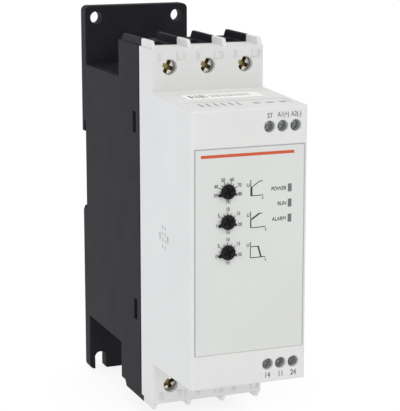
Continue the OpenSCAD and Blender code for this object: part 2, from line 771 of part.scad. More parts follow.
// Power terminals: a fixed bar, a cage that is drawn forward over it, and the captive screw

module power_bar(k, lower) placed("#c08a55", lower)
    slab([pole_x(k) - bar_w / 2, pole_x(k) + bar_w / 2], [bar_back, bar_front], [bar_foot_h, bar_tip_h]);

module power_screw(k, lower) placed("#c9b46a", lower) difference() {
    union() {
        rod(pole_x(k), pole_h, pole_thread_d, pole_tip, pole_head_back + cut / 2);
        button(pole_x(k), pole_h, pole_head_d, pole_head_back, pole_head_front, 0.5);
    }
    cross_recess(pole_x(k), pole_h, pole_cross, pole_head_front, pole_turns[k - 1]);
}

module power_cage(k, lower) placed("#b9bcc0", lower) translate([pole_x(k), 0, pole_h]) difference() {
    slab([-cage_w / 2, cage_w / 2], [cage_back - cage_t, nut_clear + cage_nut_t],
        [-cage_len / 2, cage_len / 2]);
    slab([-cage_w / 2 + cage_side_t, cage_w / 2 - cage_side_t], [cage_back, nut_clear],
        [-cage_len, cage_len]);
    rod(0, 0, pole_thread_d + 2 * thread_fit, nut_clear - cut, nut_clear + cage_nut_t + cut);
}

// Control terminals: a block of three cells, each with its bar, cage and screw

module control_block(lower) placed("#4a4d50", lower) difference() {
    slab([ctl_x - ctl_block_w / 2, ctl_x + ctl_block_w / 2], [control_front, ctl_face],
        [ctl_h - ctl_block_low, ctl_h + ctl_block_high]);
    for (k = [1:3]) {
        // Cell, wire entry, slot for the foot of the bar, and screw hole
        slab([ctl_place(k) - ctl_cell_w / 2, ctl_place(k) + ctl_cell_w / 2],
            [control_front + ctl_floor, ctl_head_back - slip_fit],
            [ctl_h - ctl_block_low + ctl_block_t, ctl_h + ctl_block_high - ctl_block_t]);
        slab([ctl_place(k) - entry_w / 2, ctl_place(k) + entry_w / 2],
            [ctl_entry_back, ctl_entry_back + entry_d], [ctl_h, ctl_h + ctl_block_high + cut]);
        slab([ctl_place(k) - ctl_bar_w / 2 - slip_fit, ctl_place(k) + ctl_bar_w / 2 + slip_fit],
            [control_front - cut, control_front + cut],
            [ctl_h - ctl_foot_h - slip_fit, ctl_h - ctl_foot_h + ctl_foot_t + slip_fit]);
        rod(ctl_place(k), ctl_h, ctl_head_d + 2 * slip_fit, ctl_head_back - cut, ctl_face + cut);
    }
}

module control_bars(lower) placed("#c08a55", lower) for (k = [1:3]) translate([ctl_place(k), 0, ctl_h]) {
    slab([-ctl_bar_w / 2, ctl_bar_w / 2], [ctl_bar_back, ctl_bar_front],
        [-ctl_foot_h, ctl_cage_len / 2 + fit]);
    slab([-ctl_bar_w / 2, ctl_bar_w / 2], [control_front, ctl_bar_front],
        [-ctl_foot_h, -ctl_foot_h + ctl_foot_t]);
}

module control_screw(k, lower) placed("#8d9094", lower) difference() {
    union() {
        rod(ctl_place(k), ctl_h, ctl_thread_d, ctl_tip, ctl_head_back + cut / 2);
        rod(ctl_place(k), ctl_h, ctl_head_d, ctl_head_back, ctl_head_front);
    }
    cross_recess(ctl_place(k), ctl_h, ctl_cross, ctl_head_front);
}

module control_cage(k, lower) placed("#b9bcc0", lower) translate([ctl_place(k), 0, ctl_h]) difference() {
    slab([-ctl_cage_w / 2, ctl_cage_w / 2], [ctl_cage_back, ctl_nut_back + ctl_nut_t],
        [-ctl_cage_len / 2, ctl_cage_len / 2]);
    slab([-ctl_cage_w / 2 + ctl_cage_side_t, ctl_cage_w / 2 - ctl_cage_side_t],
        [ctl_cage_back + ctl_cage_t, ctl_nut_back], [-ctl_cage_len, ctl_cage_len]);
    rod(0, 0, ctl_thread_d + 2 * thread_fit, ctl_nut_back - cut, ctl_nut_back + ctl_nut_t + cut);
}

rear_base();
front_cover();
front_label();
top_sticker();
rail_spring();
heat_sink();
sink_screws();
thyristor(-1);  // thyristor_left
thyristor(1);  // thyristor_right
power_board();
relay(-1);  // relay_left
relay(1);  // relay_right
riser_board();
control_board();
board_screws();
indicator_leds();
control_block(false);  // upper_terminal_block
control_block(true);  // lower_terminal_block
control_bars(false);  // upper_control_bars
control_bars(true);  // lower_control_bars
for (k = [1:3]) {
    knob(k);
    trimmer(k);
    light_pipe(k);
    power_bar(k, false);
    power_screw(k, false);
    power_cage(k, false);
    power_bar(k, true);
    power_screw(k, true);
    power_cage(k, true);
    control_screw(k, false);
    control_cage(k, false);
    control_screw(k, true);
    control_cage(k, true);
}
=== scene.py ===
import json
import math

import bmesh
import bpy
from mathutils import Matrix, Vector

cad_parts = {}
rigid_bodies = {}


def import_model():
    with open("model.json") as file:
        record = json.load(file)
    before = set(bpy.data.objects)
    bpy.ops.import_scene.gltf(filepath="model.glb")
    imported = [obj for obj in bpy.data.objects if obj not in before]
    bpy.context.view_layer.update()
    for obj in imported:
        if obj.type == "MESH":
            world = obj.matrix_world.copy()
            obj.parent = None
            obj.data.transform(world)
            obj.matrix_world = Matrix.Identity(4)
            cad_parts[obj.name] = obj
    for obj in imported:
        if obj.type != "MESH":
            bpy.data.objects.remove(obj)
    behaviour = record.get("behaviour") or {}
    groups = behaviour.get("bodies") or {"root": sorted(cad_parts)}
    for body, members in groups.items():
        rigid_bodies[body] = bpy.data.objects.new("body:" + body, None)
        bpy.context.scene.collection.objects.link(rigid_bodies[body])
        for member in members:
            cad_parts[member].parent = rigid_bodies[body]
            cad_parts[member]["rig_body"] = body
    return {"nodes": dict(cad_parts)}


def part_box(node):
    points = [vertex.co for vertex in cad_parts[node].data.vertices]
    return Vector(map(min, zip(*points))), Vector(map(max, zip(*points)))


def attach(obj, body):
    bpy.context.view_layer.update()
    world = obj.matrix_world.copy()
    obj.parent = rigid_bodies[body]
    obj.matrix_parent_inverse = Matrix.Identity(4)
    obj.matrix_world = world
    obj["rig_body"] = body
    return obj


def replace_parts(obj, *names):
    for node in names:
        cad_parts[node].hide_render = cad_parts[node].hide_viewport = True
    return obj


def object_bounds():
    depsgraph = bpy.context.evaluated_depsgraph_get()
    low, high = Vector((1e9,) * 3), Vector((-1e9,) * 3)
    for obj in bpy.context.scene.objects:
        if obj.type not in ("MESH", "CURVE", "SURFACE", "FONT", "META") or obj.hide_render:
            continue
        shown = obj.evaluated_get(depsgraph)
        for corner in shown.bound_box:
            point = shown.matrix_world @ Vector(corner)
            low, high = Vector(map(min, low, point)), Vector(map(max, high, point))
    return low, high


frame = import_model()
cad_low, cad_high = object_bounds()
nodes = frame["nodes"]


# Rear base: the mounting plate, the finned chamber and both terminal blocks in one piece.
# Black glass-filled polyamide, injection moulded in a spark-eroded tool, so every edge has a small
# radius. It hooks on the rail, or takes four screws through its plate.

MM = 0.001
base_edge = 0.35
# Levels in mm of the terminal blocks' two ends, where edges stay sharp
base_ends = (56.0, -76.8)
everywhere = (-200.0, 200.0)
# Distances in mm that count as none, between corners and between levels
same_place = 0.002
same_level = 0.01
# Angles between faces: up to which they are one face, from which they make an edge, and up to which
# strips of rounding share their shading
flat = math.radians(1)
crease = math.radians(30)
sharp = math.radians(50)
# How nearly two edges run one way, the room in radii that a rounding needs, and a wide face in mm2
aligned = 0.75
room_share = 1.6
wide_face = 30
# How the clouds and the grain of moulded plastic spread its tone and its gloss
cloud_range = (0.7, 1.3)
pit_range = (0.25, 0.75)
pit_gloss = 0.07
corner_samples = 8


def linear(colour):
    """Linear red, green and blue with alpha, of an sRGB hex colour."""
    parts = [int(colour[k:k + 2], 16) / 255 for k in (1, 3, 5)]
    return [c / 12.92 if c <= 0.04045 else ((c + 0.055) / 1.055) ** 2.4 for c in parts] + [1.0]


def add_node(material, kind, inputs=None, **settings):
    """Adds a shader node. An input is a plain value, or the socket that is linked to it."""
    node = material.node_tree.nodes.new("ShaderNode" + kind)
    for name, value in settings.items():
        setattr(node, name, value)
    for socket, value in (inputs or {}).items():
        if isinstance(value, bpy.types.NodeSocket):
            material.node_tree.links.new(value, node.inputs[socket])
        else:
            node.inputs[socket].default_value = value
    return node


def bare_material(name):
    material = bpy.data.materials.new(name)
    material.use_nodes = True
    material.node_tree.nodes.clear()
    return material


def moulded_plastic(
        name, dark, light, roughness, grain, depth, cloud=9, shine=0.5, corner=0.1, tone=None):
    """Moulded plastic: the tool's eroded grain, its spacing and depth in mm, gives a soft broken gloss,
    and flow in the mould leaves slow clouds of tone between the two colours. Every edge catches the
    light as a corner of that radius in mm. A function for the tone may change it from place to place."""
    material = bare_material(name)
    place = add_node(material, "TexCoord").outputs["Object"]
    pits = add_node(material, "TexNoise", {"Vector": place, "Scale": 1 / (grain * MM), "Detail": 3.0})
    clouds = add_node(material, "TexNoise", {"Vector": place, "Scale": 1 / (cloud * MM), "Detail": 4.0})
    mixed = add_node(
        material, "Math", {0: pits.outputs["Fac"], 1: clouds.outputs["Fac"]}, operation="ADD")
    share = add_node(material, "MapRange", {
        "Value": mixed.outputs[0], "From Min": cloud_range[0], "From Max": cloud_range[1]})
    hue = add_node(material, "MixRGB", {
        "Fac": share.outputs[0], "Color1": linear(dark), "Color2": linear(light)}).outputs[0]
    gloss = add_node(material, "MapRange", {
        "Value": pits.outputs["Fac"], "From Min": pit_range[0], "From Max": pit_range[1],
        "To Min": roughness - pit_gloss, "To Max": roughness + pit_gloss})
    round_edges = add_node(material, "Bevel", {"Radius": corner * MM}, samples=corner_samples)
    relief = add_node(material, "Bump", {
        "Height": pits.outputs["Fac"], "Distance": depth * MM, "Normal": round_edges.outputs[0]})
    surface = add_node(material, "BsdfPrincipled", {
        "Base Color": tone(material, place, hue) if tone else hue, "Roughness": gloss.outputs[0],
        "IOR": 1.5, "Specular IOR Level": shine, "Normal": relief.outputs[0]})
    add_node(material, "OutputMaterial", {"Surface": surface.outputs[0]})
    return material


def crowded(rim, rims, room):
    """Whether an edge or a corner beside an end of this edge is too close to let it be rounded. A corner
    that the rounding itself runs on to isn't too close."""
    joined = ends = set(rim.verts)
    while ends:
        ends = {end for corner in ends for leg in corner.link_edges if leg in rims for end in leg.verts
                if min((end.co - own.co).length for own in rim.verts) < room} - joined
        joined = joined | ends
    for corner in rim.verts:
        along = (rim.other_vert(corner).co - corner.co).normalized()
        for leg in corner.link_edges:
            reach = leg.other_vert(corner).co - corner.co
            lean = reach.normalized().dot(along)
            if leg == rim or leg in rims and lean < -aligned or leg.calc_face_angle() < flat:
                continue
            if abs(lean) < aligned and reach.cross(along).length < room:
                return True
            if leg not in rims and reach.length < room:
                return True
        for beside in {other for face in corner.link_faces for other in face.verts} - joined:
            longer = any(leg in rims and leg.calc_length() > rim.calc_length()
                         for leg in beside.link_edges)
            if longer and (beside.co - corner.co).length < room:
                return True
    return False


def within(rim, zone):
    """Whether an edge lies in a zone, given by its two ends along each axis in mm."""
    return all(low * MM < part < high * MM
               for corner in rim.verts for part, (low, high) in zip(corner.co, zone))


def level_zone(level):
    """The zone of one level in mm, all over the piece."""
    return everywhere, everywhere, (level - same_level, level + same_level)


def corner_normal(face, corner, strips):
    """The normal of a face at one of its corners. Faces that run on smoothly share it, the larger ones
    with more weight, and a strip of rounding takes it from the face that it runs into."""
    walls = [other for other in corner.link_faces if other not in strips]
    if face in strips and walls:
        face = max(walls, key=lambda other: other.normal.dot(face.normal))
    limit = math.cos(crease if walls else sharp)
    shared = Vector()
    for other in walls or corner.link_faces:
        if other.normal.dot(face.normal) > limit:
            shared += other.normal * other.calc_area()
    return shared.normalized()


def eased(node, edge, material, segments=2, sharp_zones=()):
    """A copy of a CAD piece that stands for it, with its outer edges rounded to a radius in mm. Edges
    that have no room for it stay sharp, and so do those in the sharp zones."""
    shape = bmesh.new()
    shape.from_mesh(nodes[node].data)
    bmesh.ops.remove_doubles(shape, verts=shape.verts, dist=same_place * MM)
    bmesh.ops.dissolve_limit(
        shape, angle_limit=flat, use_dissolve_boundaries=False, verts=shape.verts, edges=shape.edges)
    rims = {rim for rim in shape.edges if rim.is_convex and rim.calc_face_angle() > crease
            and not any(within(rim, zone) for zone in sharp_zones)}
    left_out = rims
    while left_out:
        left_out = {rim for rim in rims if crowded(rim, rims, room_share * edge * MM)}
        rims = rims - left_out
    # Wide faces are cut into convex ones first, so that the rounding turns no part of them over
    bmesh.ops.connect_verts_concave(
        shape, faces=[face for face in shape.faces if face.calc_area() > wide_face * MM ** 2])
    strips = set(bmesh.ops.bevel(
        shape, geom=[rim for rim in shape.edges if rim in rims], offset=edge * MM, offset_type="OFFSET",
        segments=segments, profile=0.5, affect="EDGES", material=-1, clamp_overlap=False,
        loop_slide=False)["faces"])
    shape.normal_update()
    normals = [corner_normal(face, corner, strips) for face in shape.faces for corner in face.verts]
    for face in shape.faces:
        face.smooth = True
    mesh = bpy.data.meshes.new(node + "_eased")
    shape.to_mesh(mesh)
    shape.free()
    mesh.normals_split_custom_set(normals)
    mesh.materials.clear()
    mesh.materials.append(material)
    piece = bpy.data.objects.new(node + "_eased", mesh)
    bpy.context.scene.collection.objects.link(piece)
    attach(piece, nodes[node]["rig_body"])
    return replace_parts(piece, node)


# Black polyamide: a deep grey with a faint blue cast and a silky gloss. The eroded grain is about
# 0.1 mm in the real part and is drawn at 0.5 mm, because a finer one wouldn't show in the render.
black_polyamide = moulded_plastic(
    "black_polyamide_eroded", "#1d1d21", "#27272d", roughness=0.55, grain=0.5, depth=0.03, shine=0.07,
    corner=base_edge)
eased("rear_base", base_edge, black_polyamide, sharp_zones=[level_zone(end) for end in base_ends])


# Rail spring: one bowed wire behind the plate that presses the rail onto the lower lip.
# Hard drawn spring steel, cut and bent, held in a slot of the rear base.

line_stretch = 40
streak_range = (0.3, 0.7)
streak_gloss = 0.08


def drawn_metal(name, dark, light, roughness, line, along, depth=0.004):
    """Bare or plated metal with fine lines along one axis, from rolling, drawing or a die. A line is
    about that many mm wide and far longer, and the gloss changes from line to line."""
    material = bare_material(name)
    place = add_node(material, "TexCoord").outputs["Object"]
    stretch = [1 / (line * MM)] * 3
    stretch["XYZ".index(along)] /= line_stretch
    lines = add_node(material, "Mapping", {"Vector": place, "Scale": stretch})
    streaks = add_node(material, "TexNoise", {"Vector": lines.outputs[0], "Scale": 1.0, "Detail": 2.0})
    tone = add_node(material, "MixRGB", {
        "Fac": streaks.outputs["Fac"], "Color1": linear(dark), "Color2": linear(light)})
    gloss = add_node(material, "MapRange", {
        "Value": streaks.outputs["Fac"], "From Min": streak_range[0], "From Max": streak_range[1],
        "To Min": roughness - streak_gloss, "To Max": roughness + streak_gloss})
    relief = add_node(material, "Bump", {"Height": streaks.outputs["Fac"], "Distance": depth * MM})
    surface = add_node(material, "BsdfPrincipled", {
        "Base Color": tone.outputs[0], "Metallic": 1.0, "Roughness": gloss.outputs[0],
        "Normal": relief.outputs[0]})
    add_node(material, "OutputMaterial", {"Surface": surface.outputs[0]})
    return material


def coat(material, *names):
    """Gives CAD pieces that keep their shape their real finish."""
    for name in names:
        nodes[name].data.materials.clear()
        nodes[name].data.materials.append(material)


# Spring steel wire: bright grey, with die lines along the wire
coat(drawn_metal("spring_steel_drawn", "#9b9ea3", "#c6c9cd", roughness=0.28, line=0.2, along="X"),
     "rail_spring")


# Heat sink and its four screws: a ribbed block behind the power modules, seen through the grilles.
# Aluminium, extruded with its fins in one pull and sawn to length, and screwed on the base's bosses.

# Extruded aluminium: satin grey with die lines that run up the fins
coat(drawn_metal("extruded_aluminium_mill", "#9ea1a4", "#c3c6c9", roughness=0.38, line=0.4, along="Z"),
     "heat_sink")

# Zinc plated steel: a cool bright grey, slightly cloudy
zinc_plating = drawn_metal(
    "zinc_plated_steel", "#8f9297", "#b9bcc1", roughness=0.3, line=0.5, along="Y")
coat(zinc_plating, "sink_screws")


# Thyristor modules: two power switches, flat blocks clamped on the heat sink with pins to the board.
# Black epoxy, transfer moulded round the chips.

# Epoxy moulding compound: near black, matte and slightly sandy
coat(moulded_plastic("epoxy_moulded", "#1e1e21", "#2a2a2e", roughness=0.58, grain=0.4, depth=0.02),
     "thyristor_left", "thyristor_right")


# Power board with its two relays, its riser and the screws: the rear circuit board on four ledges.
# Glass-epoxy laminate with copper tracks under a green lacquer. The relays' cases are moulded.

track_pitch = 2.5
track_run = 3
track_share = 0.18
weave_width = 0.6
weave_relief = 0.01


def board_laminate(name, mask, track):
    """Printed circuit laminate: glossy green lacquer, a little lighter where it lies over tracks."""
    material = bare_material(name)
    place = add_node(material, "TexCoord").outputs["Object"]
    turned = add_node(material, "Mapping", {"Vector": place, "Rotation": (math.radians(90), 0, 0)})
    tracks = add_node(material, "TexBrick", {
        "Vector": turned.outputs[0], "Scale": 1.0, "Mortar Size": track_share * track_pitch * MM,
        "Brick Width": track_run * track_pitch * MM, "Row Height": track_pitch * MM,
        "Color1": linear(mask), "Color2": linear(mask), "Mortar": linear(track)})
    weave = add_node(material, "TexNoise", {"Vector": place, "Scale": 1 / (weave_width * MM)})
    gloss = add_node(material, "MapRange", {
        "Value": weave.outputs["Fac"], "To Min": 0.25, "To Max": 0.4})
    relief = add_node(
        material, "Bump", {"Height": weave.outputs["Fac"], "Distance": weave_relief * MM})
    surface = add_node(material, "BsdfPrincipled", {
        "Base Color": tracks.outputs["Color"], "Roughness": gloss.outputs[0], "IOR": 1.55,
        "Normal": relief.outputs[0]})
    add_node(material, "OutputMaterial", {"Surface": surface.outputs[0]})
    return material


green_laminate = board_laminate("glass_epoxy_lacquered", "#235437", "#3c7a50")
coat(green_laminate, "power_board", "riser_board")
coat(zinc_plating, "board_screws")

# Relay case: dark polyester, smooth from a polished tool
coat(moulded_plastic("polyester_moulded", "#292d32", "#343940", roughness=0.4, grain=0.6, depth=0.01),
     "relay_left", "relay_right")


# Power terminals: at each end three copper bars, three cages and the captive screws that draw them.
# The bars are cut from rolled copper, the cages bent from plated steel, the screws cold headed.

cage_edge = 0.25
screw_edge = 0.12
# Depths behind the head's face between which the plating gives way to the recess, and the radii between
# which the core of the recess gives way to the painted shade of its arms
recess_depths = (0.05, 1)
core_radii = (0.8, 1.3)
ring_width = 0.9
ring_relief = 0.006

# Rolled copper: warm brown-pink, with fine lines along the strip
rolled_copper = drawn_metal("copper_rolled", "#a8733f", "#c99460", roughness=0.3, line=0.3, along="Z")
# Nickel plated steel: bright, with the rolling lines of the sheet
plated_sheet = drawn_metal(
    "nickel_plated_steel", "#a7aaae", "#d3d5d8", roughness=0.25, line=0.3, along="Y")


def headed_screw(name, plate, painted_arm_shade, core, axis_x, axis_h, face):
    """A cold headed screw: bright plating on the head, dark brown painted shade in the arms of the
    recess and old brass at its centre. They are told apart by the depth behind the head's face and the
    distance from the axis, whose places are in metres."""
    material = bare_material(name)
    place = add_node(material, "TexCoord").outputs["Object"]
    parts = add_node(material, "SeparateXYZ", {"Vector": place})
    # Behind the head's face the plating gives way to the recess: old brass at the centre, painted shade
    # in the arms
    sunk_and_shaded = add_node(material, "MapRange", {
        "Value": parts.outputs["Y"], "From Min": face + recess_depths[0] * MM,
        "From Max": face + recess_depths[1] * MM})
    centred = add_node(material, "Mapping", {
        "Vector": place, "Scale": (1, 0, 1), "Location": (-axis_x, 0, -axis_h)})
    rings = add_node(material, "TexWave", {
        "Vector": centred.outputs[0], "Scale": 1 / (ring_width * MM), "Distortion": 1.5},
        wave_type="RINGS", rings_direction="Y")
    radius = add_node(material, "VectorMath", {0: centred.outputs[0]}, operation="LENGTH")
    # Painted shade: further from the axis, the arms of the recess turn dark brown
    outward = add_node(material, "MapRange", {
        "Value": radius.outputs["Value"], "From Min": core_radii[0] * MM,
        "From Max": core_radii[1] * MM})
    inside = add_node(material, "MixRGB", {
        "Fac": outward.outputs[0], "Color1": linear(core), "Color2": linear(painted_arm_shade)})
    tone = add_node(material, "MixRGB", {
        "Fac": sunk_and_shaded.outputs[0], "Color1": linear(plate), "Color2": inside.outputs[0]})
    gloss = add_node(material, "MapRange", {
        "Value": rings.outputs["Fac"], "To Min": 0.16, "To Max": 0.3})
    relief = add_node(material, "Bump", {"Height": rings.outputs["Fac"], "Distance": ring_relief * MM})
    surface = add_node(material, "BsdfPrincipled", {
        "Base Color": tone.outputs[0], "Metallic": 1.0, "Roughness": gloss.outputs[0],
        "Normal": relief.outputs[0]})
    add_node(material, "OutputMaterial", {"Surface": surface.outputs[0]})
    return material


for end in ("line", "load"):
    for k in (1, 2, 3):
        coat(rolled_copper, f"{end}_bar_{k}")
        eased(f"{end}_cage_{k}", cage_edge, plated_sheet)
        screw = f"{end}_screw_{k}"
        low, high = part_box(screw)
        middle = (low + high) / 2
        # Yellow passivated zinc: silvery on the flats with a straw tint, gold at the centre of the
        # recess and
        #         # painted shade in dark brown in its arms
        passivated = headed_screw(
            screw + "_passivated", plate="#efece2", painted_arm_shade="#6e6146", core="#918356",
            axis_x=middle.x, axis_h=middle.z, face=low.y)
        eased(screw, screw_edge, passivated)


# Control board with the trimmers and the indicator chips: the front circuit board on the cover's posts.
# The same laminate as the power board, and soldered parts with moulded cases and clear resin lenses.

coat(green_laminate, "control_board")

# Trimmer case: blue thermoset, fairly glossy
coat(moulded_plastic("thermoset_blue", "#2e4763", "#3c5a7c", roughness=0.32, grain=0.5, depth=0.01),
     "trimmer_1", "trimmer_2", "trimmer_3")
# Indicator lens: clear resin with a straw tint over the chip
coat(moulded_plastic("clear_resin_lens", "#c9c293", "#e0dab4", roughness=0.18, grain=0.7, depth=0.005),
     "indicator_leds")


# Control terminals: a block of three cells at each end of the raised front, with bars, cages and
# screws. The blocks are moulded in grey polyamide and soldered on the control board, and the screws
# are zinc plated.

control_edge = 0.08

# Grey polyamide: a dull mid grey that still shows inside the screw holes
grey_polyamide = moulded_plastic(
    "grey_polyamide", "#b2b5b7", "#c0c3c5", roughness=0.5, grain=0.5, depth=0.02)
# Control screws: grey zinc, duller than the power screws
dull_zinc = drawn_metal("zinc_plated_dull", "#c2c5c8", "#dadde0", roughness=0.4, line=0.4, along="X")

for end in ("upper", "lower"):
    eased(f"{end}_terminal_block", control_edge, grey_polyamide)
    coat(rolled_copper, f"{end}_control_bars")
    for k in (1, 2, 3):
        coat(plated_sheet, f"{end}_control_cage_{k}")
        eased(f"{end}_control_screw_{k}", control_edge, dull_zinc)


# Front cover: the stepped shell with two terminal faces, a raised front, ribs and springy hooks.
# Light grey polycarbonate blend, moulded in a fine eroded tool and snapped on the rear base. The pole
# marks stand proud of the terminal faces in the same plastic, and the control marks are pad printed.

cover_edge = 0.4
head_sink = 3.3
label_sunk = 0.05
# Edges at the levels of its two ends stay sharp, and so do the vents' rims, because rounded ones are
# hardly seen
cover_ends = (58.0, -78.8)
vent_zone = ((-15.2, 1.3), (-118.8, -111.8), everywhere)
mark_height = 2.7
mark_raise = 0.24
mark_spread = (-4.1, 4.3)
mark_offset = 4.1
mark_squeeze = 0.9
mark_spacing = 1.35
legend_heights = {"upper": 1.7, "lower": 2.0}
long_legend = 0.94
legend_offset = 4.0
ink_depth = 0.03
ink_patch = 0.8
ink_relief = 0.004
narrow = 0.8
capital = 0.682
# Both are shares of a capital's height
stroke_swell = 0.03
stroke_join = 0.001

# Polycarbonate blend: a warm light grey with a soft satin gloss. Its grain of about 0.08 mm is drawn at
# 0.45 mm so that it shows.
light_blend = moulded_plastic(
    "light_grey_polycarbonate_blend", "#d9d9d8", "#e0e0df", roughness=0.46, grain=0.45, depth=0.012,
    cloud=25, shine=0.3, corner=cover_edge)
eased("front_cover", cover_edge, light_blend, segments=3,
      sharp_zones=[level_zone(end) for end in cover_ends] + [vent_zone])


def lettering(sheet, words, x, h, height, face, raise_by, squeeze=narrow, spacing=1.0):
    """Adds words to a sheet of print or marks: centred on a place in metres, with capitals of a height
    in mm, standing off a front face. Every stroke is widened a little, as ink and moulded marks are."""
    curve = bpy.data.curves.new(words, "FONT")
    curve.body, curve.size, curve.space_character = words, 1 / capital, spacing
    holder = bpy.data.objects.new(words, curve)
    bpy.context.scene.collection.objects.link(holder)
    bpy.context.view_layer.update()
    outline = bpy.data.meshes.new_from_object(holder)
    letters = bmesh.new()
    letters.from_mesh(outline)
    bmesh.ops.remove_doubles(letters, verts=letters.verts, dist=stroke_join)
    letters.normal_update()
    outward = {}
    for rim in letters.edges:
        if rim.is_boundary:
            loop = rim.link_loops[0]
            along = loop.link_loop_next.vert.co - loop.vert.co
            for corner in rim.verts:
                outward.setdefault(corner, Vector())
                outward[corner] += along.cross(loop.face.normal).normalized()
    for corner, push in outward.items():
        corner.co += push.normalized() * stroke_swell
    front = bmesh.ops.extrude_face_region(letters, geom=letters.faces[:])["geom"]
    front_corners = [part for part in front if isinstance(part, bmesh.types.BMVert)]
    bmesh.ops.translate(letters, vec=(0, 0, 1), verts=front_corners)
    across = [corner.co.x for corner in letters.verts]
    up = [corner.co.y for corner in letters.verts]
    centred = Matrix.Translation((-(min(across) + max(across)) / 2, -(min(up) + max(up)) / 2, 0))
    size = Matrix.Diagonal((height * squeeze * MM, height * MM, raise_by * MM, 1))
    upright = Matrix.Translation((x, face, h)) @ Matrix.Rotation(math.radians(90), 4, "X")
    bmesh.ops.transform(letters, matrix=upright @ size @ centred, verts=letters.verts)
    letters.to_mesh(outline)
    letters.free()
    sheet.from_mesh(outline)
    bpy.data.objects.remove(holder)
    bpy.data.curves.remove(curve)
    bpy.data.meshes.remove(outline)


def laid_on(name, sheet, material):
    """Turns a sheet of print or marks into a piece that rides on the housing."""
    mesh = bpy.data.meshes.new(name)
    bmesh.ops.recalc_face_normals(sheet, faces=sheet.faces)
    sheet.to_mesh(mesh)
    sheet.free()
    mesh.materials.append(material)
    piece = bpy.data.objects.new(name, mesh)
    bpy.context.scene.collection.objects.link(piece)
    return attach(piece, "housing")


def printing_ink(name, dark, light):
    """Printing ink: a thin matte film, slightly uneven in cover from the screen or the pad."""
    material = bare_material(name)
    place = add_node(material, "TexCoord").outputs["Object"]
    cover = add_node(
        material, "TexNoise", {"Vector": place, "Scale": 1 / (ink_patch * MM), "Detail": 2.0})
    tone = add_node(material, "MixRGB", {
        "Fac": cover.outputs["Fac"], "Color1": linear(dark), "Color2": linear(light)})
    gloss = add_node(material, "MapRange", {
        "Value": cover.outputs["Fac"], "To Min": 0.45, "To Max": 0.65})
    relief = add_node(material, "Bump", {"Height": cover.outputs["Fac"], "Distance": ink_relief * MM})
    surface = add_node(material, "BsdfPrincipled", {
        "Base Color": tone.outputs[0], "Roughness": gloss.outputs[0], "Normal": relief.outputs[0]})
    add_node(material, "OutputMaterial", {"Surface": surface.outputs[0]})
    return material


front_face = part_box("front_label")[0].y
cover_front = front_face - label_sunk * MM
terminal_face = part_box("line_screw_1")[0].y - head_sink * MM

marks = bmesh.new()
for end, row, letter, first in (("line", 1, "L", 1), ("load", -1, "T", 2)):
    for k in (1, 2, 3):
        low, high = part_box(f"{end}_cage_{k}")
        middle = (low + high) / 2
        for words, side in ((str(first + 2 * (k - 1)), 0), (letter + str(k), 1)):
            lettering(marks, words, middle.x + mark_spread[side] * MM,
                      middle.z + row * mark_offset * MM, mark_height, terminal_face, mark_raise,
                      squeeze=mark_squeeze, spacing=mark_spacing)
laid_on("terminal_marks", marks, light_blend)

# Pad printing ink: mid grey
grey_ink = printing_ink("pad_printing_ink_grey", "#5b5d5e", "#6d6f70")
legends = bmesh.new()
for end, row, words in (("upper", 1, ("ST", "A1(+)", "A2(-)")), ("lower", -1, ("14", "11", "24"))):
    for k in (1, 2, 3):
        low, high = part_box(f"{end}_control_cage_{k}")
        middle = (low + high) / 2
        squeeze = narrow * (long_legend if len(words[k - 1]) > 2 else 1)
        lettering(legends, words[k - 1], middle.x, middle.z + row * legend_offset * MM,
                  legend_heights[end], cover_front, ink_depth, squeeze)
laid_on("terminal_legends", legends, grey_ink)


# Light pipes: three small windows that carry the light of the indicators to the front.
# Diffusing polycarbonate, moulded and pressed into the cover from behind.

# Smoked polycarbonate: dark grey when the light is off, with a smooth gloss
smoked_polycarbonate = moulded_plastic(
    "smoked_polycarbonate", "#626568", "#707376", roughness=0.26, grain=0.8, depth=0.004)
coat(smoked_polycarbonate, "light_pipe_1", "light_pipe_2", "light_pipe_3")


# Front label: a printed film in a shallow bed of the cover, with dials, ramps and the lamps' words.
# Polyester with a fine matt lacquer, screen printed in black and orange and stuck down. Grey lines
# # along three of its sides are painted shade of the bed's rim.

number_height = 1.22
unit_height = 1.0
word_height = 1.34
print_squeeze = 0.86
scale_half = 111
tick_inner, tick_short, tick_long = 2.7, 3.35, 3.9
tick_width = 0.2
stop_width = 1.0
line_width = 0.3
bold_width = 0.6
# Painted shade along the rim of the label's bed: line widths on the right, the top and the left, none at
# the foot, and the inset
bed_shade_widths = (0.2, 0.24, 0.34)
bed_shade_inset = 0.15
stripe_width = 1.1
stripe_height = 34.5
stripe_ends = (-18.85, 17.1)
six_places = ((-4.6, -1.1), (-4.5, 2.1), (-1.8, 4.3), (1.6, 4.3), (4.5, 2.1), (4.7, -1.1))
five_places = ((-4.3, -1.1), (-3.5, 2.7), (0.15, 4.7), (4.2, 2.9), (4.7, -1.1))
unit_place = (0.15, -3.7)
dials = (
    (("30", "40", "50", "60", "70", "80"), "[%]", six_places),
    (("1", "5", "10", "15", "20"), "[s]", five_places),
    (("0", "5", "10", "15", "20"), "[s]", five_places),
)
lamp_words = (("POWER", 6.0), ("RUN", 3.5), ("ALARM", 5.95))
word_gap = 0.65
# Starting voltage, ramp up and ramp down, each a small curve of voltage over time with one part bold
ramp_lines = (
    (((0.25, 25.2), (0.25, 19.45), (5.1, 19.45)), line_width),
    (((0.6, 19.45), (0.6, 22.7)), bold_width),
    (((0.6, 22.5), (3.7, 24.6), (4.8, 24.6)), line_width),
    (((0.25, 13.7), (0.25, 7.8), (6.1, 7.8)), line_width),
    (((0.4, 7.8), (0.4, 10.8)), line_width),
    (((0.6, 10.8), (3.6, 12.8)), bold_width),
    (((3.5, 12.8), (4.8, 12.8)), line_width),
    (((0.25, 2.6), (0.25, -3.25), (6.1, -3.25)), line_width),
    (((0.25, 0.8), (3.3, 0.8)), line_width),
    (((3.2, 0.9), (4.4, -3.2)), bold_width),
)
ramp_letters = (
    ("U", -0.72, 23.4), ("t", 4.9, 18.45),
    ("U", -0.72, 12.5), ("t", 6.1, 6.8),
    ("U", -0.72, 1.5), ("t", 6.1, -4.3),
)

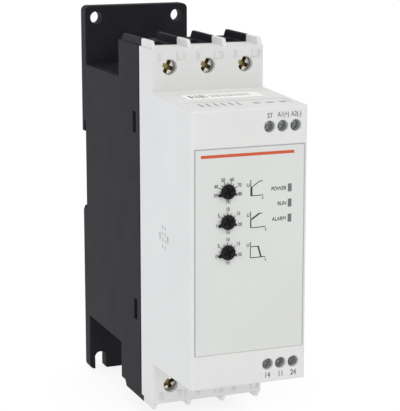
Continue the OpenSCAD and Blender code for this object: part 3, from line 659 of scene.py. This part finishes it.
# Polyester film: a pale, faintly green grey with a close matt lacquer
polyester_film = moulded_plastic(
    "polyester_film_matt", "#d3d5d2", "#d9dbd8", roughness=0.5, grain=0.4, depth=0.004, cloud=30,
    shine=0.3)
coat(polyester_film, "front_label")
black_ink = printing_ink("screen_printing_ink_black", "#2a2b2c", "#3a3b3c")
orange_ink = printing_ink("screen_printing_ink_orange", "#c24a24", "#cf5a33")

base_low, base_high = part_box("rear_base")
housing_middle = (base_low.z + base_high.z) / 2


def stroke(sheet, start, end, width):
    """Adds a straight printed line between two places, in mm from the middle of the housing."""
    a, b = Vector(start) * MM, Vector(end) * MM
    along = b - a
    middle = (a + b) / 2
    place = Matrix.Translation((middle.x, front_face - ink_depth * MM / 2, housing_middle + middle.y))
    turn = Matrix.Rotation(-math.atan2(along.y, along.x), 4, "Y")
    size = Matrix.Diagonal((along.length, ink_depth * MM, width * MM, 1))
    bmesh.ops.create_cube(sheet, size=1, matrix=place @ turn @ size)


def on_dial(centre, angle, radius):
    """The place at an angle from the top of a dial and a distance from its centre."""
    turn = math.radians(angle)
    return centre[0] + radius * math.sin(turn), centre[1] + radius * math.cos(turn)


panel = bmesh.new()
for k, (numbers, unit, places) in enumerate(dials, start=1):
    low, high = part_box(f"trimmer_{k}")
    dial_x = (low.x + high.x) / 2 / MM
    dial_h = ((low.z + high.z) / 2 - housing_middle) / MM
    centre = dial_x, dial_h
    steps = 2 * (len(numbers) - 1)
    for step in range(steps + 1):
        angle = scale_half * (2 * step / steps - 1)
        reach = tick_short if step % 2 else tick_long
        width = stop_width if step in (0, steps) else tick_width
        stroke(panel, on_dial(centre, angle, tick_inner), on_dial(centre, angle, reach), width)
    for words, (across, up) in zip((*numbers, unit), (*places, unit_place)):
        lettering(panel, words, (dial_x + across) * MM, housing_middle + (dial_h + up) * MM,
                  unit_height if words == unit else number_height, front_face, ink_depth, print_squeeze)

for k, (words, span) in enumerate(lamp_words, start=1):
    low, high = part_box(f"light_pipe_{k}")
    lettering(panel, words, low.x - (word_gap + span / 2) * MM, (low.z + high.z) / 2, word_height,
              front_face, ink_depth, print_squeeze)

for places, width in ramp_lines:
    for start, end in zip(places, places[1:]):
        stroke(panel, start, end, width)
for words, across, up in ramp_letters:
    lettering(panel, words, across * MM, housing_middle + up * MM, number_height, front_face, ink_depth,
              print_squeeze)
laid_on("panel_print", panel, black_ink)

stripe = bmesh.new()
stroke(stripe, (stripe_ends[0], stripe_height), (stripe_ends[1], stripe_height), stripe_width)
laid_on("panel_stripe", stripe, orange_ink)

# Painted shade of the bed's rim: grey lines inside the label's edge, widest on the left and none at the
# foot
bed_shade = bmesh.new()
label_low, label_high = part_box("front_label")
left, right = label_low.x / MM + bed_shade_inset, label_high.x / MM - bed_shade_inset
foot = (label_low.z - housing_middle) / MM + bed_shade_inset
head = (label_high.z - housing_middle) / MM - bed_shade_inset
corners = ((right, foot), (right, head), (left, head), (left, foot))
for start, end, width in zip(corners, corners[1:], bed_shade_widths):
    stroke(bed_shade, start, end, width)
bed_shade_ink = printing_ink("painted_bed_shade_grey", "#a4a6a5", "#b4b6b5")
laid_on("label_bed_shade", bed_shade, bed_shade_ink)


# Setting knobs: three small pointer knobs with a crossed slot, each on the shaft of its trimmer.
# Black acetal, moulded in one piece and pressed on.

knob_edge = 0.18
# Painted shade in the slot and on the flank: near black, deepening over these depths behind the knob's
# face
painted_slot_shade = "#070708"
slot_depths = (0.2, 0.45)

knob_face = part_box("knob_1")[0].y


def shaded_slot(material, place, hue):
    """Paints shade into the crossed slot and onto the flank, which lie behind the knob's face."""
    parts = add_node(material, "SeparateXYZ", {"Vector": place})
    # Painted shade: the deeper behind the knob's face, the darker
    slot_shade_share = add_node(material, "MapRange", {
        "Value": parts.outputs["Y"], "From Min": knob_face + slot_depths[0] * MM,
        "From Max": knob_face + slot_depths[1] * MM})
    return add_node(material, "MixRGB", {
        "Fac": slot_shade_share.outputs[0], "Color1": hue, "Color2": linear(painted_slot_shade)}).outputs[0]


# Black acetal: dark grey on the face with a slightly waxy gloss, and painted shade, near black, in the
# # slot and on the flank
black_acetal = moulded_plastic(
    "black_acetal", "#131315", "#1c1c1e", roughness=0.42, grain=0.4, depth=0.01, shine=0.15,
    tone=shaded_slot)
for k in (1, 2, 3):
    eased(f"knob_{k}", knob_edge, black_acetal)


# Top sticker: a small marking label on the upper end of the raised front, with two rows of plain bars.
# Coated white paper, printed by a thermal head, cut and stuck on by hand.

paper_thickness = 0.15
bold_bars = (1.0, 0.5, 0.75, 1.1, 0.5)
bold_from, bold_gap, bold_length = -13.1, 0.7, 5.4
fine_bars = (0.5, 0.35, 0.6, 0.4, 0.55, 0.35, 0.6, 0.5, 0.35, 0.5, 0.4, 0.35, 0.4)
fine_from, fine_gap, fine_length = -4.6, 0.75, 4.0
bars_up = 0.1

# Coated paper: bright white with a fine fibre and a soft gloss
coat(moulded_plastic("coated_paper", "#f0f0ee", "#f8f8f6", roughness=0.55, grain=0.35, depth=0.004),
     "top_sticker")

paper_low, paper_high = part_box("top_sticker")
fall = math.atan2(paper_high.z - paper_low.z - paper_thickness * MM, paper_high.y - paper_low.y)
paper_middle = (paper_low + paper_high) / 2
paper_top = paper_middle.z + paper_thickness / 2 * MM
on_paper = Matrix.Translation((paper_middle.x, paper_middle.y, paper_top))
on_paper = on_paper @ Matrix.Rotation(fall, 4, "X")
bars = bmesh.new()


def paper_bar(across, width, length):
    """Adds a printed bar to the sticker, at a place in mm across from the middle of the paper."""
    size = Matrix.Diagonal((width * MM, length * MM, ink_depth * MM, 1))
    place = Matrix.Translation((across * MM, bars_up * MM, 0))
    bmesh.ops.create_cube(bars, size=1, matrix=on_paper @ place @ size)


for widths, along, gap, length in (
        (bold_bars, bold_from, bold_gap, bold_length), (fine_bars, fine_from, fine_gap, fine_length)):
    for width in widths:
        paper_bar(along + width / 2, width, length)
        along += width + gap
# Thermal print: dull dark grey, a little broken
laid_on("sticker_bars", bars, printing_ink("thermal_print_grey", "#6a6a6c", "#8c8c8e"))


# Studio: a wide pale floor under the object, a bright even surround and two large soft lamps.
# The floor is a sheet of opal acrylic on a light table.

floor_size = 14
floor_glow = 0.86
frosting_width = 4
surround_glow = 0.82
camera_place = (-0.222305, -0.644259, 0.123236)
camera_aim = (0.005658, -0.064, -0.007176)
camera_lens = 141.294
camera_reach = (0.01, 50)

floor_shape = bmesh.new()
bmesh.ops.create_grid(
    floor_shape, x_segments=1, y_segments=1, size=floor_size / 2,
    matrix=Matrix.Translation((0, 0, cad_low.z)))
floor_mesh = bpy.data.meshes.new("floor")
floor_shape.to_mesh(floor_mesh)
floor_shape.free()
floor = bpy.data.objects.new("floor", floor_mesh)
bpy.context.scene.collection.objects.link(floor)
# Opal acrylic: it glows evenly, so the floor stays pale and shadows on it stay faint
opal_acrylic = bare_material("opal_acrylic_lit")
acrylic_place = add_node(opal_acrylic, "TexCoord").outputs["Object"]
frosting = add_node(
    opal_acrylic, "TexNoise", {"Vector": acrylic_place, "Scale": 1 / (frosting_width * MM)})
dullness = add_node(opal_acrylic, "MapRange", {
    "Value": frosting.outputs["Fac"], "To Min": 0.85, "To Max": 0.95})
acrylic = add_node(opal_acrylic, "BsdfPrincipled", {
    "Base Color": linear("#707070"), "Roughness": dullness.outputs[0], "Specular IOR Level": 0.1,
    "Emission Color": linear("#ffffff"), "Emission Strength": floor_glow})
add_node(opal_acrylic, "OutputMaterial", {"Surface": acrylic.outputs[0]})
floor_mesh.materials.append(opal_acrylic)

surround = bpy.data.worlds.new("surround")
surround.use_nodes = True
surround.node_tree.nodes["Background"].inputs["Color"].default_value = linear("#ffffff")
surround.node_tree.nodes["Background"].inputs["Strength"].default_value = surround_glow
bpy.context.scene.world = surround
bpy.context.scene.view_settings.view_transform = "Standard"


def soft_lamp(name, place, size, power, tint):
    lamp = bpy.data.lights.new(name, "AREA")
    lamp.shape, lamp.size, lamp.energy = "DISK", size, power
    lamp.color = linear(tint)[:3]
    holder = bpy.data.objects.new(name, lamp)
    holder.location = place
    holder.rotation_mode = "QUATERNION"
    holder.rotation_quaternion = (Vector(camera_aim) - Vector(place)).to_track_quat("-Z", "Y")
    bpy.context.scene.collection.objects.link(holder)


soft_lamp("overhead_lamp", place=(-0.2, -0.8, 1.35), size=1.0, power=6.2, tint="#fffefa")
soft_lamp("left_lamp", place=(-1.3, -0.4, 0.5), size=0.9, power=1.75, tint="#c6d9ff")

camera = bpy.data.objects.new("camera", bpy.data.cameras.new("camera"))
camera.data.lens = camera_lens
camera.data.clip_start, camera.data.clip_end = camera_reach
camera.location = camera_place
camera.rotation_mode = "QUATERNION"
camera.rotation_quaternion = (Vector(camera_aim) - Vector(camera_place)).to_track_quat("-Z", "Y")
bpy.context.scene.collection.objects.link(camera)
bpy.context.scene.camera = camera
